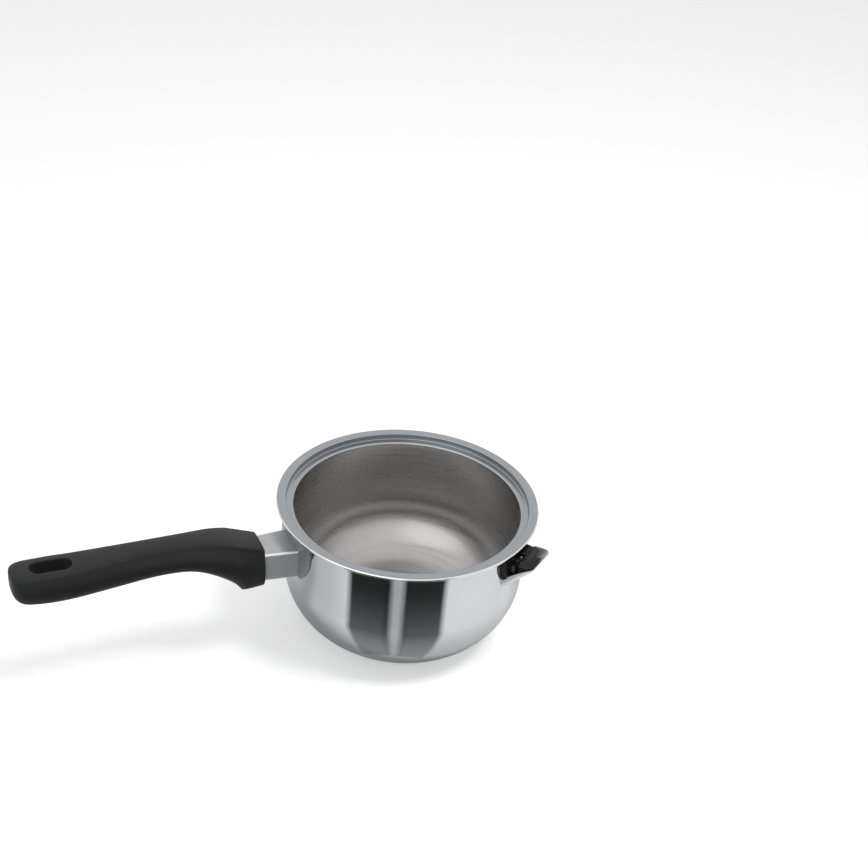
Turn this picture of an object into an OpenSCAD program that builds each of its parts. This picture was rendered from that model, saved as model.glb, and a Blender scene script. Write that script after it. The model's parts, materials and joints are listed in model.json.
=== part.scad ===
// Double-walled saucepan: two steel shells with a water jacket between them, an encapsulated base,
// a filler chute with a hinged whistle flap, and a long moulded grip behind a steel flame guard.
// The pan stands on z = 0, its axis is Z and the grip points along -X. Lengths are millimetres.

/* [Pan] */
// Outside diameter of the outer wall, just under the rim
wall_d = 160.4; // [156:0.2:166]
// Height of the rim above the worktop
pan_h = 97; // [94:1:110]
// Radius of the round foot of the outer wall
foot_r = 51; // [47:1:53]
// How far the circle of the foot reaches below the worktop before the base cuts it off
foot_sink = 2.2; // [2:0.1:4.5]
// How much the outer wall draws in, on the radius, from the rim down to the foot
draw_in = 1.4; // [0.4:0.1:2]
// Sheet thickness of the outer shell
outer_sheet = 0.8; // [0.6:0.1:1]
// Sheet thickness of the inner shell
inner_sheet = 0.8; // [0.6:0.1:1]
// Width of the water jacket between the walls
jacket_gap = 5; // [4.5:0.1:6]
// Height of the water jacket under the inner floor
floor_gap = 6; // [4:0.5:9]
// Radius between the inner wall and the inner floor
inner_corner_r = 40; // [30:1:44]

/* [Rim] */
// How far the rolled rim stands out from the wall
rim_overhang = 4.8; // [4:0.1:6]
// Depth of the lid seat below the rim
seat_depth = 4.2; // [3.6:0.1:6]
// Rounding from the rim into the lid seat
lip_round = 0.8; // [0.5:0.1:1.2]
// Rounding in the corner of the lid seat
cove_round = 0.6; // [0.3:0.1:1]
// Rounding from the lid seat down into the inner wall
ledge_round = 1.2; // [0.6:0.1:1.8]

/* [Base] */
// Height of the encapsulated base
base_h = 4.5; // [3.5:0.1:6]
// Sheet thickness of the base cap
base_sheet = 0.6; // [0.5:0.1:0.8]
// Radius of the flat that the pan stands on
base_flat_r = 46; // [44:0.5:48]
// Rounding of the edge of the base cap
base_edge_r = 7.6; // [7:0.1:9]

/* [Flame guard] */
// Width of the steel box at the pan wall
guard_wall_w = 26; // [24:0.5:28]
// Width of the steel box at the grip
guard_grip_w = 22.4; // [21:0.2:23.4]
// Height of the steel box
guard_h = 20.2; // [18:0.2:22]
// How far the top of the steel box lies below the rim
guard_drop = 14.7; // [13.5:0.1:16]
// How much the steel box climbs between the wall and the grip
guard_rise = 0.7; // [0:0.1:1]
// Length of the steel box from the wall to the grip
guard_len = 20.6; // [18:0.2:24]
// Sheet thickness of the flame guard
guard_sheet = 1; // [0.8:0.1:1.2]
// Rounding of the long edges of the steel box
guard_edge_r = 1.4; // [1.1:0.1:2]
// Width of the saddle that hugs the wall
saddle_w = 51; // [44:1:54]
// Radius of the two sides of the saddle
saddle_side_r = 29.4; // [28:0.2:34]
// How far the widest part of the saddle lies below the rim
saddle_mid_drop = 12.5; // [11:0.5:14]
// How far the top of the saddle lies below the rim
saddle_top_drop = 4.4; // [3.8:0.1:6]

/* [Handle bracket] */
// Width of the tongue that carries the grip
tongue_w = 14; // [12:0.5:16]
// Thickness of the tongue
tongue_t = 5; // [4:0.5:6]
// How far the middle of the tongue lies below the rim
tongue_drop = 20; // [19:0.5:22]
// How far the tongue reaches into the grip
tongue_reach = 26; // [22:1:28]
// Thickness of the plate welded to the wall
weld_plate_t = 1.6; // [1.2:0.1:2]
// Width of the welded plate
weld_plate_w = 19; // [17:0.5:20]
// Height of the welded plate
weld_plate_h = 16; // [14:0.5:17]
// Length of the gusset under the tongue
gusset_len = 14; // [10:1:16]

/* [Grip] */
// Length of the grip
grip_len = 155; // [140:1:165]
// Full width of the grip
grip_w = 31; // [29:0.5:33]
// Height of the grip from its highest to its lowest point
grip_h = 39.7; // [38:0.1:41]
// How far the highest point of the grip stands above the rim
grip_above_rim = 0.9; // [-1:0.1:2]
// How far the top of the grip swells in its middle
grip_crown = 0.7; // [0.2:0.1:1.2]
// Rounding of the front end of the grip
grip_front_round = 1.4; // [0.8:0.1:2]
// Length over which the far end of the grip rounds off
grip_end_round = 13; // [10:1:16]
// How much the underside lifts where the far end rounds off
grip_end_lift = 10; // [8:0.5:12]
// How much the top drops where the far end rounds off
grip_end_drop = 1.5; // [1:0.5:4]
// Length of the hanging hole
hang_len = 25.5; // [20:0.5:28]
// Width of the hanging hole
hang_w = 11.2; // [9:0.2:12]
// Distance from the middle of the hanging hole to the end of the grip
hang_inset = 24.5; // [22:0.5:28]

/* [Handle screw] */
// Thread diameter of the handle screw
screw_d = 5; // [4:0.5:6]
// Diameter of its head
screw_head_d = 8.8; // [8:0.1:9]
// Height of its head
screw_head_h = 3.2; // [2.5:0.1:4]
// Width across flats of its hexagon socket
screw_socket_w = 3; // [2.5:0.1:3.5]
// Distance of the screw behind the front end of the grip
screw_inset = 9.6; // [9:0.1:11]
// Depth of the grip between the screw head and the tongue
screw_boss_h = 8; // [6:0.5:9]
// Thickness of the spring washer
washer_t = 1.2; // [1:0.1:1.4]
// Gap of the split in the spring washer
washer_split = 0.8; // [0.5:0.1:1]

/* [Filler chute] */
// Bearing of the filler, counted from +X
filler_angle = -54; // [-70:1:-40]
// Width of the chute
chute_w = 27; // [26:0.5:30]
// How far the lip of the chute stands out from the wall
chute_reach = 17.5; // [17:0.1:19]
// How far the underside of the lip lies below the rim
lip_drop = 8.8; // [8.4:0.1:9.2]
// How far the foot of the chute lies below the rim
chute_foot_drop = 28; // [26.5:0.1:29]
// Height of the near side of the chute at the wall
chute_near_h = 7.4; // [6.8:0.1:8]
// Rise of the near side's edge above a straight line to the lip
chute_near_bow = 1.2; // [0.8:0.1:1.4]
// Height of the far side of the chute at the wall
chute_far_h = 16; // [15:0.1:16.5]
// Rise of the far side's edge above a straight line to the lip
chute_far_bow = 2.2; // [1.8:0.1:2.4]
// Sheet thickness of the chute
chute_sheet = 1; // [0.8:0.1:1.2]
// Rounding between the floor and the sides of the chute
chute_corner_r = 3.5; // [2.5:0.1:4]
// Rounding of the corners of the lip, seen from above
lip_corner_r = 3; // [2:0.1:4]

/* [Whistle housing] */
// Width of the steam passage through the housing
passage_w = 16; // [14:0.5:16.5]
// Height of the steam passage
passage_h = 3.7; // [3:0.1:3.8]
// How far the middle of the passage lies below the rim
passage_drop = 13.75; // [13.7:0.01:13.8]
// Wall of the snout that pushes through the pan wall
snout_wall = 1.2; // [1:0.1:1.3]
// How far the snout reaches in behind the face of the wall
snout_reach = 4; // [3.6:0.1:4.4]
// How far the snap barbs stand out beside the snout
barb_out = 1.1; // [0.8:0.1:1.3]
// Thickness of the collar that lies on the wall
collar_t = 2.2; // [2:0.1:2.3]
// How far the top of the collar reaches out over the near side of the chute
collar_near_w = 19.3; // [18:0.1:20]
// How far the top of the collar reaches out towards the far side of the chute
collar_far_w = 8; // [7.6:0.1:9]
// How far the far shoulder of the collar lies below its top
collar_far_drop = 7; // [6:0.1:7.4]
// How far the top of the collar lies below the rim
collar_drop = 3.8; // [3.5:0.1:4.4]
// Thickness of the silicone gasket behind the collar
gasket_t = 1; // [0.8:0.1:1.1]
// Width of the silicone gasket around the snout
gasket_w = 2.6; // [2:0.1:3]

/* [Whistle flap] */
// How far the hinge pin stands out from the wall
hinge_out = 4.8; // [4.75:0.01:4.9]
// How far the hinge pin lies below the rim
hinge_drop = 8.5; // [8.4:0.01:8.6]
// Diameter of the hinge pin
pin_d = 2.2; // [1.8:0.1:2.4]
// Diameter of the hinge knuckles
knuckle_d = 4.4; // [4:0.1:4.6]
// Width of the gap between the two middle knuckles, where the pin shows
pin_window = 3.6; // [2.8:0.1:4]
// How far that gap lies off the middle, towards the near side
window_off = 3.2; // [2.8:0.1:3.5]
// Width of a lug of the housing
lug_w = 2.4; // [2.2:0.1:3]
// Thickness of the near lug's wall over the end of the hinge pin
lug_cover = 0.9; // [0.7:0.1:1]
// Width over the two middle knuckles
flap_knuckles_w = 14.8; // [13:0.2:15.6]
// How far the crest of the flap lies below the rim
flap_drop = 4.3; // [4.2:0.05:4.6]
// How far the rear of the flap's top lies below the rim
flap_rear_drop = 5.7; // [5.5:0.1:6]
// How far the front edge of the flap lies below the rim
nose_drop = 6.4; // [6.2:0.05:6.5]
// How far the crest of the flap lies behind the lip
crest_inset = 5.2; // [4.8:0.1:5.6]
// How far the shoulders of the flap lie below the rim
shoulder_drop = 8.6; // [8.4:0.1:9]
// Width of the top of the flap
flap_top_w = 17.4; // [16.4:0.1:18.4]
// Rounding of the long top edges of the flap
flap_edge_r = 1.5; // [1:0.1:2]
// How far the visor stops short of the front of the flap
flap_short = 4.6; // [4.2:0.1:5]
// Rounding of the visor's corner, seen from above
visor_r = 2.6; // [2.2:0.1:3]
// Thickness of the visor at its front edge
visor_t = 2; // [1.8:0.1:2.4]
// Lean of the visor's underside from upright
visor_lean = 36; // [34:1:38]
// Depth of the notch beside the visor
notch_depth = 3.2; // [2.6:0.1:3.8]
// How far the notch reaches over the middle
notch_w = 3.2; // [2.8:0.1:3.8]
// Height of the silicone seal on the flap
seal_h = 5.2; // [4.8:0.1:5.3]
// Width of the silicone seal on the flap
seal_w = 19; // [18:0.5:20]
// Thickness of the silicone seal on the flap
seal_t = 2; // [1.6:0.1:2.1]
// Bore of the steam duct in the flap
duct_d = 2.4; // [2.3:0.1:2.6]
// Bore of the riser between the steam duct and the whistle
riser_d = 2; // [1.6:0.1:2.2]
// Least wall of the flap around its steam duct
duct_wall = 0.8; // [0.6:0.1:1]
// How far the duct and the whistle lie off the middle, towards the near side
whistle_off = 5; // [4.6:0.1:5.4]
// Diameter of the whistle bore and its two discs
whistle_d = 3.6; // [3:0.1:4]
// Thickness of a whistle disc
disc_t = 0.4; // [0.3:0.1:0.5]
// Hole in a whistle disc
disc_hole_d = 1.2; // [0.8:0.1:1.6]
// Gap between the two whistle discs
disc_gap = 1.2; // [1:0.1:1.4]

/* [Clearances] */
// Running clearance of the hinge, on the radius
hinge_fit = 0.08; // [0.05:0.01:0.1]
// Gap between the flap and what it moves past
flap_gap = 0.4; // [0.3:0.05:0.45]
// Clearance of a moulded piece against the piece it sits in
seat_fit = 0.1; // [0.05:0.05:0.15]
// Clearance of the screw in the grip, on the radius
screw_fit = 0.3; // [0.2:0.05:0.4]
// Clearance of the tongue in the socket of the grip
socket_fit = 0.2; // [0.1:0.05:0.3]

/* [Hidden] */

$fn = 96;
// A cut reaches this far past the faces it opens
overrun = 1;
// A hull's slices are this thin
slice_t = 0.01;

// Levels and radii of the shells
wall_r = wall_d / 2;
foot_wall_r = wall_r - draw_in;
foot_cz = foot_r - foot_sink;
foot_cr = foot_wall_r - foot_r;
rim_r = wall_r + rim_overhang;
flange_top = pan_h - inner_sheet;
flange_low = flange_top - outer_sheet;
hem_low = flange_low - inner_sheet;
flange_r = rim_r - inner_sheet;
neck_r = outer_sheet;
hem_r = wall_r + rim_overhang / 2;
edge_r = (pan_h - hem_low) / 2;
seat_r = wall_r - outer_sheet - inner_sheet;
seat_z = pan_h - seat_depth;
// The wall is straight from here up to the rim and draws in below
straight_z = seat_z - 2 * inner_sheet;
inner_r = wall_r - outer_sheet - jacket_gap - inner_sheet;
floor_z = base_h + outer_sheet + floor_gap + inner_sheet;

// Shares of the overall sizes of the grip at stations along it, front to back:
// [length, top, underside, half width of the top, half width of the body]
grip_shares = [
    [0.00, 0.700, 0.000, 0.70, 0.85],
    [0.06, 0.785, 0.020, 0.72, 0.93],
    [0.13, 0.885, 0.170, 0.73, 1.00],
    [0.20, 0.945, 0.375, 0.67, 0.95],
    [0.27, 0.975, 0.485, 0.59, 0.87],
    [0.34, 0.990, 0.545, 0.54, 0.81],
    [0.45, 1.000, 0.545, 0.53, 0.77],
    [0.60, 0.985, 0.545, 0.62, 0.79],
    [0.75, 0.965, 0.540, 0.73, 0.88],
    [0.85, 0.980, 0.505, 0.76, 0.90],
    [0.93, 1.000, 0.505, 0.74, 0.88],
    [1.00, 1.005, 0.520, 0.73, 0.87]];
// Shares of the section of the grip from the top's middle to the edge: [half width, crown]
top_shares = [[0, 1], [0.45, 0.8], [0.82, 0.1], [0.96, -0.8]];
// Shares of the flank below the edge: [way from the top's width to the full width, height]
flank_shares = [[0.05, 0.08], [0.35, 0.17], [0.7, 0.29], [0.93, 0.43]];
// Share of the height that the rounded underside takes, and the fullness of that rounding
belly_share = 0.44;
belly_power_share = 0.75;
// Fullness of the rounded far end
end_power_share = 3.2;
belly_steps = 6;
edge_steps = 12;
grip_rings = 34;
end_rings = 8;

// Places on the handle, u outwards along it and z upwards
guard_top = pan_h - guard_drop;
guard_low = guard_top - guard_h;
grip_front = wall_r + guard_len;
grip_top = pan_h + grip_above_rim;
grip_low = grip_top - grip_h;
tongue_top = pan_h - tongue_drop + tongue_t / 2;
tongue_low = tongue_top - tongue_t;
tongue_end = grip_front + tongue_reach;
screw_u = grip_front + screw_inset;
screw_seat_z = tongue_low - screw_boss_h;
hang_u = grip_front + grip_len - hang_inset;

// Places on the filler, u outwards along it and z upwards
chute_foot_z = pan_h - chute_foot_drop;
lip_u = wall_r + chute_reach;
lip_z = pan_h - lip_drop;
chute_tilt = atan2(lip_z - chute_foot_z, chute_reach);
sheet_rise = chute_sheet / cos(chute_tilt);
chute_in_w = chute_w - 2 * chute_sheet;
collar_front = wall_r + collar_t;
collar_top = pan_h - collar_drop;
passage_z = pan_h - passage_drop;
pin_u = wall_r + hinge_out;
pin_z = pan_h - hinge_drop;
knuckle_r = knuckle_d / 2;
lug_end = flap_knuckles_w / 2 + flap_gap + lug_w;
flap_w = chute_in_w - 2 * flap_gap;
flap_rear = pin_u + knuckle_r + flap_gap;
flap_top = pan_h - flap_drop;
flap_rear_z = pan_h - flap_rear_drop;
nose_z = pan_h - nose_drop;
shoulder_z = pan_h - shoulder_drop;
crest_u = lip_u - crest_inset;
visor_u = lip_u - flap_gap - flap_short;
visor_z = flap_top - visor_t;
seal_front = collar_front + seat_fit;
seal_back = seal_front + seal_t;
seal_top = pin_z - knuckle_r - flap_gap;
seal_low = seal_top - seal_h;
// Distance of the hinge pin from the floor of the chute, which the swinging flap has to clear
pin_to_floor = abs(hinge_out * sin(chute_tilt)
    - (pin_z - chute_foot_z - sheet_rise) * cos(chute_tilt));
duct_z = seal_top - duct_wall - duct_d / 2;
riser_u = flap_rear + duct_wall + riser_d / 2;
disc_u = riser_u + riser_d / 2;

// Points of an arc from angle a to angle b
function arc(cx, cy, r, a, b, steps = 16) =
    [for (i = [0:steps]) let (t = a + (b - a) * i / steps) [cx + r * cos(t), cy + r * sin(t)]];

// Height of the upper face of the chute's floor
function chute_floor(u) = chute_foot_z + sheet_rise + (u - wall_r) * tan(chute_tilt);
// Upper edge of a side of the chute, bowed upwards on its way from the wall to the lip
function side_edge(side_h, bow, gap = 0) =
    [for (i = [0:edge_steps]) let (f = i / edge_steps) [wall_r + f * chute_reach,
        chute_foot_z + side_h + f * (lip_z + sheet_rise - chute_foot_z - side_h)
        + 4 * f * (1 - f) * bow + gap]];

// Smooth curve through one column of a table whose first column is the way along it
function slope_at(t, c, i) =
    let (a = max(i - 1, 0), b = min(i + 1, len(t) - 1)) (t[b][c] - t[a][c]) / (t[b][0] - t[a][0]);
function knot(t, x, i = 0) = i >= len(t) - 2 || t[i + 1][0] > x ? i : knot(t, x, i + 1);
function curve(t, c, x) =
    let (i = knot(t, x), w = t[i + 1][0] - t[i][0], f = (x - t[i][0]) / w,
        f2 = f * f, f3 = f2 * f)
    (2 * f3 - 3 * f2 + 1) * t[i][c] + (f3 - 2 * f2 + f) * w * slope_at(t, c, i)
    + (3 * f2 - 2 * f3) * t[i + 1][c] + (f3 - f2) * w * slope_at(t, c, i + 1);

// Turns what follows to a bearing around the pan
module at_bearing(angle) {
    rotate([0, 0, angle]) children();
}

// Extrudes a shape drawn in u and z across the bearing, centred on it
module across(width) {
    rotate([90, 0, 0]) linear_extrude(width, center = true) children();
}

// Extrudes a shape drawn across the bearing and in z, from one distance to another
module along(from, to) {
    translate([from, 0, 0]) rotate([90, 0, 90]) linear_extrude(to - from) children();
}

// A slot-shaped outline, lying on its side
module slot_outline(w, h) {
    square([w - h, h], center = true);
    for (side = [-1, 1]) translate([side * (w - h) / 2, 0]) circle(d = h);
}

// A rectangle with round corners
module round_rect(w, h, r) {
    square([w - 2 * r, h], center = true);
    square([w, h - 2 * r], center = true);
    for (x = [-1, 1], y = [-1, 1]) translate([x * (w / 2 - r), y * (h / 2 - r)]) circle(r, $fn = 32);
}

// The space inside the outside face of the outer wall, grown by a clearance
module wall_form(grow = 0) {
    rotate_extrude($fn = 180) polygon([[0, 0], [foot_wall_r + grow, 0],
        [foot_wall_r + grow, foot_cz], [wall_r + grow, straight_z], [wall_r + grow, pan_h],
        [0, pan_h]]);
}

// Outer shell: flange under the rim, drawn wall, round foot, and a floor over the base
module outer_shell() {
    turn = asin((foot_cz - base_h) / foot_r);
    turn_in = asin((foot_cz - base_h - outer_sheet) / (foot_r - outer_sheet));
    color("gainsboro") difference() {
        rotate_extrude($fn = 180) polygon(concat(
            [[flange_r, flange_top], [flange_r, flange_low]],
            arc(wall_r + neck_r, flange_low - neck_r, neck_r, 90, 180, 6),
            [[wall_r, straight_z]],
            arc(foot_cr, foot_cz, foot_r, 0, -turn, 24),
            [[0, base_h], [0, base_h + outer_sheet]],
            arc(foot_cr, foot_cz, foot_r - outer_sheet, -turn_in, 0, 24),
            [[wall_r - outer_sheet, straight_z], [wall_r - outer_sheet, flange_top]]));
        at_bearing(filler_angle) translate([0, 0, passage_z])
            along(wall_r - overrun - snout_reach, wall_r + overrun)
                slot_outline(passage_w + 2 * snout_wall + 2 * seat_fit,
                    passage_h + 2 * snout_wall + 2 * seat_fit);
    }
}

// Inner shell: floor, wall, lid seat, and a rim that is rolled round the flange of the outer shell
module inner_shell() {
    corner_cr = inner_r - inner_corner_r;
    corner_cz = floor_z + inner_corner_r;
    color("silver") rotate_extrude($fn = 180) polygon(concat(
        [[hem_r, flange_low], [flange_r, flange_low], [flange_r, flange_top],
            [wall_r - outer_sheet, flange_top], [wall_r - outer_sheet, seat_z - inner_sheet],
            [inner_r + inner_sheet, seat_z - inner_sheet]],
        arc(corner_cr, corner_cz, inner_corner_r + inner_sheet, 0, -90, 20),
        [[0, floor_z - inner_sheet], [0, floor_z]],
        arc(corner_cr, corner_cz, inner_corner_r, -90, 0, 20),
        arc(inner_r + ledge_round, seat_z - ledge_round, ledge_round, 180, 90, 6),
        arc(seat_r - cove_round, seat_z + cove_round, cove_round, -90, 0, 4),
        arc(seat_r + lip_round, pan_h - lip_round, lip_round, 180, 90, 6),
        arc(rim_r - edge_r, pan_h - edge_r, edge_r, 90, -90, 12),
        [[hem_r, hem_low]]));
}

// Outline of the base, from the flat up its round edge, inside a wall of the given thickness
function base_outline(inset) =
    arc(base_flat_r, base_edge_r, base_edge_r - inset, -90,
        acos((base_edge_r - base_h) / (base_edge_r - inset)) - 90, 8);

// Aluminium disc that spreads the heat
module base_core() {
    color("darkgray") rotate_extrude() polygon(concat(
        [[0, base_sheet]], base_outline(base_sheet), [[0, base_h]]));
}

// Steel cap that encloses the disc
module base_cap() {
    outline = base_outline(base_sheet);
    color("gainsboro") rotate_extrude() polygon(concat(
        [[0, 0]], base_outline(0), [for (i = [len(outline) - 1:-1:0]) outline[i]],
        [[0, base_sheet]]));
}

// Welded bracket: a plate on the wall, a tongue into the grip and a gusset between them
module handle_bracket() {
    plate_mid = tongue_top - weld_plate_h / 2;
    color("silver") at_bearing(180) difference() {
        union() {
            intersection() {
                wall_form(weld_plate_t);
                along(0, wall_r + weld_plate_t) translate([0, plate_mid])
                    square([weld_plate_w, weld_plate_h], center = true);
            }
            translate([0, -tongue_w / 2, tongue_low]) cube([tongue_end, tongue_w, tongue_t]);
            across(tongue_t) polygon([[0, tongue_top], [wall_r + gusset_len, tongue_top],
                [wall_r + weld_plate_t, tongue_top - weld_plate_h],
                [0, tongue_top - weld_plate_h]]);
        }
        wall_form();
        translate([screw_u, 0, tongue_low - overrun]) cylinder(tongue_t + 2 * overrun, d = screw_d);
    }
}

// One cross-section of the steel box of the flame guard
module guard_slice(u, w, inset) {
    rise = guard_rise * (u - wall_r) / guard_len;
    translate([0, 0, guard_top - guard_h / 2 + rise]) along(u, u + slice_t)
        round_rect(w - 2 * inset, guard_h - 2 * inset, guard_edge_r - inset);
}

// Flame guard: a tapered steel box with a saddle that hugs the wall
module flame_guard() {
    color("darkgray") at_bearing(180) difference() {
        union() {
            hull() {
                guard_slice(wall_r - guard_sheet, guard_wall_w, 0);
                guard_slice(grip_front - slice_t, guard_grip_w, 0);
            }
            intersection() {
                wall_form(guard_sheet);
                along(0, rim_r) difference() {
                    intersection_for (side = [-1, 1])
                        translate([side * (saddle_side_r - saddle_w / 2), pan_h - saddle_mid_drop])
                            circle(saddle_side_r);
                    translate([-saddle_w, pan_h - saddle_top_drop]) square(2 * saddle_w);
                    translate([-saddle_w, guard_low - 2 * saddle_w]) square(2 * saddle_w);
                }
            }
        }
        wall_form();
        hull() {
            guard_slice(wall_r - saddle_w / 2, guard_wall_w, guard_sheet);
            guard_slice(grip_front + overrun, guard_grip_w, guard_sheet);
        }
    }
}

// Half outline of the grip's section at one station, from the top's middle to the belly's
function grip_half(top, low, top_half, full_half) =
    let (h = top - low, belly = h * belly_share)
    concat(
        [for (p = top_shares) [top_half * p[0], top + grip_crown * (p[1] - 1)]],
        [for (p = flank_shares)
            [top_half + (full_half - top_half) * p[0], top - grip_crown - h * p[1]]],
        [for (i = [0:belly_steps]) let (a = 90 * i / belly_steps)
            [full_half * pow(cos(a), belly_power_share),
                low + belly * (1 - pow(sin(a), belly_power_share))]]);

// Whole section of the grip at a share of its length, drawn in by an inset
function grip_section(x, inset, shrink) =
    let (top = grip_low + grip_h * curve(grip_shares, 1, x) - inset - grip_end_drop * (1 - shrink),
        low = grip_low + grip_h * curve(grip_shares, 2, x) + inset + grip_end_lift * (1 - shrink),
        half = grip_half(top, low, (grip_w / 2 * curve(grip_shares, 3, x) - inset) * shrink,
            (grip_w / 2 * curve(grip_shares, 4, x) - inset) * shrink),
        n = len(half))
    concat(half, [for (i = [n - 2:-1:1]) [-half[i][0], half[i][1]]]);

// Stations of the grip: [distance from its front, inset, width left where the end rounds off]
function grip_stations() =
    let (end_start = grip_len - grip_end_round)
    concat([[0, grip_front_round, 1],
        [grip_front_round * (1 - cos(45)), grip_front_round * (1 - sin(45)), 1]],
        [for (i = [0:grip_rings])
            [grip_front_round + (end_start - grip_front_round) * i / grip_rings, 0, 1]],
        [for (i = [1:end_rings]) let (e = sin(88 * i / end_rings))
            [end_start + grip_end_round * e, 0,
                pow(1 - pow(e, end_power_share), 1 / end_power_share)]]);

// Solid form of the grip, a skin over its sections
module grip_form() {
    stations = grip_stations();
    rings = [for (s = stations) grip_section(s[0] / grip_len, s[1], s[2])];
    n = len(rings[0]);
    last = len(rings) - 1;
    polyhedron(
        [for (k = [0:last]) for (p = rings[k]) [grip_front + stations[k][0], p[0], p[1]]],
        concat(
            [[for (i = [n - 1:-1:0]) i]],
            [for (k = [0:last - 1], i = [0:n - 1])
                [k * n + i, k * n + (i + 1) % n, (k + 1) * n + (i + 1) % n]],
            [for (k = [0:last - 1], i = [0:n - 1])
                [k * n + i, (k + 1) * n + (i + 1) % n, (k + 1) * n + i]],
            [[for (i = [0:n - 1]) last * n + i]]),
        convexity = 6);
}

// Moulded grip with its hanging hole, the socket for the tongue and the bore for the screw
module handle_grip() {
    hole_r = screw_d / 2 + screw_fit;
    color([0.13, 0.13, 0.14]) at_bearing(180) difference() {
        grip_form();
        translate([hang_u, 0, grip_low]) linear_extrude(grip_h + 2 * overrun)
            slot_outline(hang_len, hang_w);
        translate([grip_front - overrun, -tongue_w / 2 - socket_fit, tongue_low - socket_fit])
            cube([tongue_reach + overrun + socket_fit, tongue_w + 2 * socket_fit,
                tongue_t + 2 * socket_fit]);
        translate([screw_u, 0, screw_seat_z]) cylinder(tongue_top - screw_seat_z + screw_d, r = hole_r);
        translate([screw_u, 0, grip_low - overrun])
            cylinder(screw_seat_z - grip_low + overrun, d = screw_head_d + 2 * screw_fit);
    }
}

// Screw from the pad under the grip up into the tongue
module handle_screw() {
    head_top = screw_seat_z - washer_t;
    color("silver") at_bearing(180) translate([screw_u, 0, 0]) difference() {
        union() {
            translate([0, 0, head_top - screw_head_h]) cylinder(screw_head_h, d = screw_head_d);
            translate([0, 0, head_top]) cylinder(tongue_top - head_top, d = screw_d);
        }
        translate([0, 0, head_top - screw_head_h - overrun])
            cylinder(screw_head_h / 2 + overrun, d = screw_socket_w / cos(30), $fn = 6);
    }
}

// Split spring washer between the screw's head and the grip
module lock_washer() {
    color("silver") at_bearing(180) translate([screw_u, 0, screw_seat_z - washer_t]) difference() {
        cylinder(washer_t, d = screw_head_d);
        translate([0, 0, -overrun]) cylinder(washer_t + 2 * overrun, r = screw_d / 2 + screw_fit);
        translate([0, -washer_split / 2, -overrun])
            cube([screw_head_d, washer_split, washer_t + 2 * overrun]);
    }
}

// Plan of the chute or of what lies over it, with round corners at the lip
module lip_plan(w) {
    translate([0, -w / 2]) square([lip_u - lip_corner_r, w]);
    translate([0, lip_corner_r - w / 2]) square([lip_u, w - 2 * lip_corner_r]);
    for (side = [-1, 1]) translate([lip_u - lip_corner_r, side * (w / 2 - lip_corner_r)])
        circle(lip_corner_r);
}

// Side view of all that lies below an edge, from the middle of the pan to the lip
module under_edge(edge) {
    polygon(concat([[lip_u, 0], [0, 0], [0, edge[0][1]]], edge));
}

// Steel chute: a channel that climbs from the wall to its lip, with its far side the higher one
module filler_chute() {
    deep = pan_h - chute_foot_z;
    near_edge = side_edge(chute_near_h, chute_near_bow);
    far_edge = side_edge(chute_far_h, chute_far_bow);
    color("gainsboro") at_bearing(filler_angle) difference() {
        intersection() {
            translate([wall_r, 0, chute_foot_z]) rotate([0, -chute_tilt, 0])
                along(-deep, 2 * deep) translate([0, deep / 2]) difference() {
                    round_rect(chute_w, deep, chute_corner_r);
                    translate([0, chute_sheet])
                        round_rect(chute_in_w, deep, chute_corner_r - chute_sheet);
                }
            union() {
                across(chute_w) under_edge(near_edge);
                translate([0, chute_w / 4, 0]) across(chute_w / 2) under_edge(far_edge);
            }
            linear_extrude(pan_h) lip_plan(chute_w);
        }
        wall_form();
    }
}

// The space inside the channel of the chute, drawn in by a clearance
module channel_space(gap) {
    deep = pan_h - chute_foot_z;
    translate([wall_r, 0, chute_foot_z]) rotate([0, -chute_tilt, 0])
        along(-deep, 2 * deep) translate([0, deep / 2 + chute_sheet + gap])
            round_rect(chute_in_w - 2 * gap, deep, chute_corner_r - chute_sheet);
}

// Housing: a collar on the wall, a snout that snaps through it, and two lugs for the hinge pin
module whistle_housing() {
    snout_w = passage_w + 2 * snout_wall;
    snout_h = passage_h + 2 * snout_wall;
    color([0.1, 0.1, 0.1]) at_bearing(filler_angle) difference() {
        union() {
            difference() {
                intersection() {
                    channel_space(seat_fit);
                    along(inner_r, collar_front) polygon([[-chute_in_w / 2, chute_foot_z],
                        [chute_in_w / 2, chute_foot_z], [chute_in_w / 2, collar_top - collar_far_drop],
                        [collar_far_w, collar_top], [-chute_in_w / 2, collar_top]]);
                }
                wall_form(seat_fit);
            }
            difference() {
                along(inner_r, collar_front) polygon([[-chute_w / 2, chute_foot_z],
                    [0, chute_foot_z], [0, collar_top], [-collar_near_w, collar_top]]);
                translate([0, -pan_h / 2, 0]) across(pan_h)
                    under_edge(side_edge(chute_near_h, chute_near_bow, seat_fit));
                wall_form(seat_fit);
            }
            translate([0, 0, passage_z]) along(wall_r - snout_reach, collar_front)
                slot_outline(snout_w, snout_h);
            intersection() {
                wall_form(-outer_sheet - seat_fit);
                translate([0, 0, passage_z]) along(wall_r - snout_reach, wall_r)
                    square([snout_w + 2 * barb_out, passage_h / 2], center = true);
            }
            for (side = [-1, 1]) translate([0, side * (lug_end - lug_w / 2), 0]) {
                translate([pin_u, 0, pin_z]) rotate([90, 0, 0])
                    cylinder(lug_w, d = knuckle_d, center = true);
                across(lug_w) translate([collar_front - collar_t / 2, pin_z - knuckle_r])
                    square([pin_u - collar_front + collar_t / 2, knuckle_d]);
            }
        }
        translate([0, 0, passage_z]) along(wall_r - snout_reach - overrun, collar_front + overrun)
            slot_outline(passage_w, passage_h);
        pin_form();
        gasket_form();
    }
}

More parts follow.
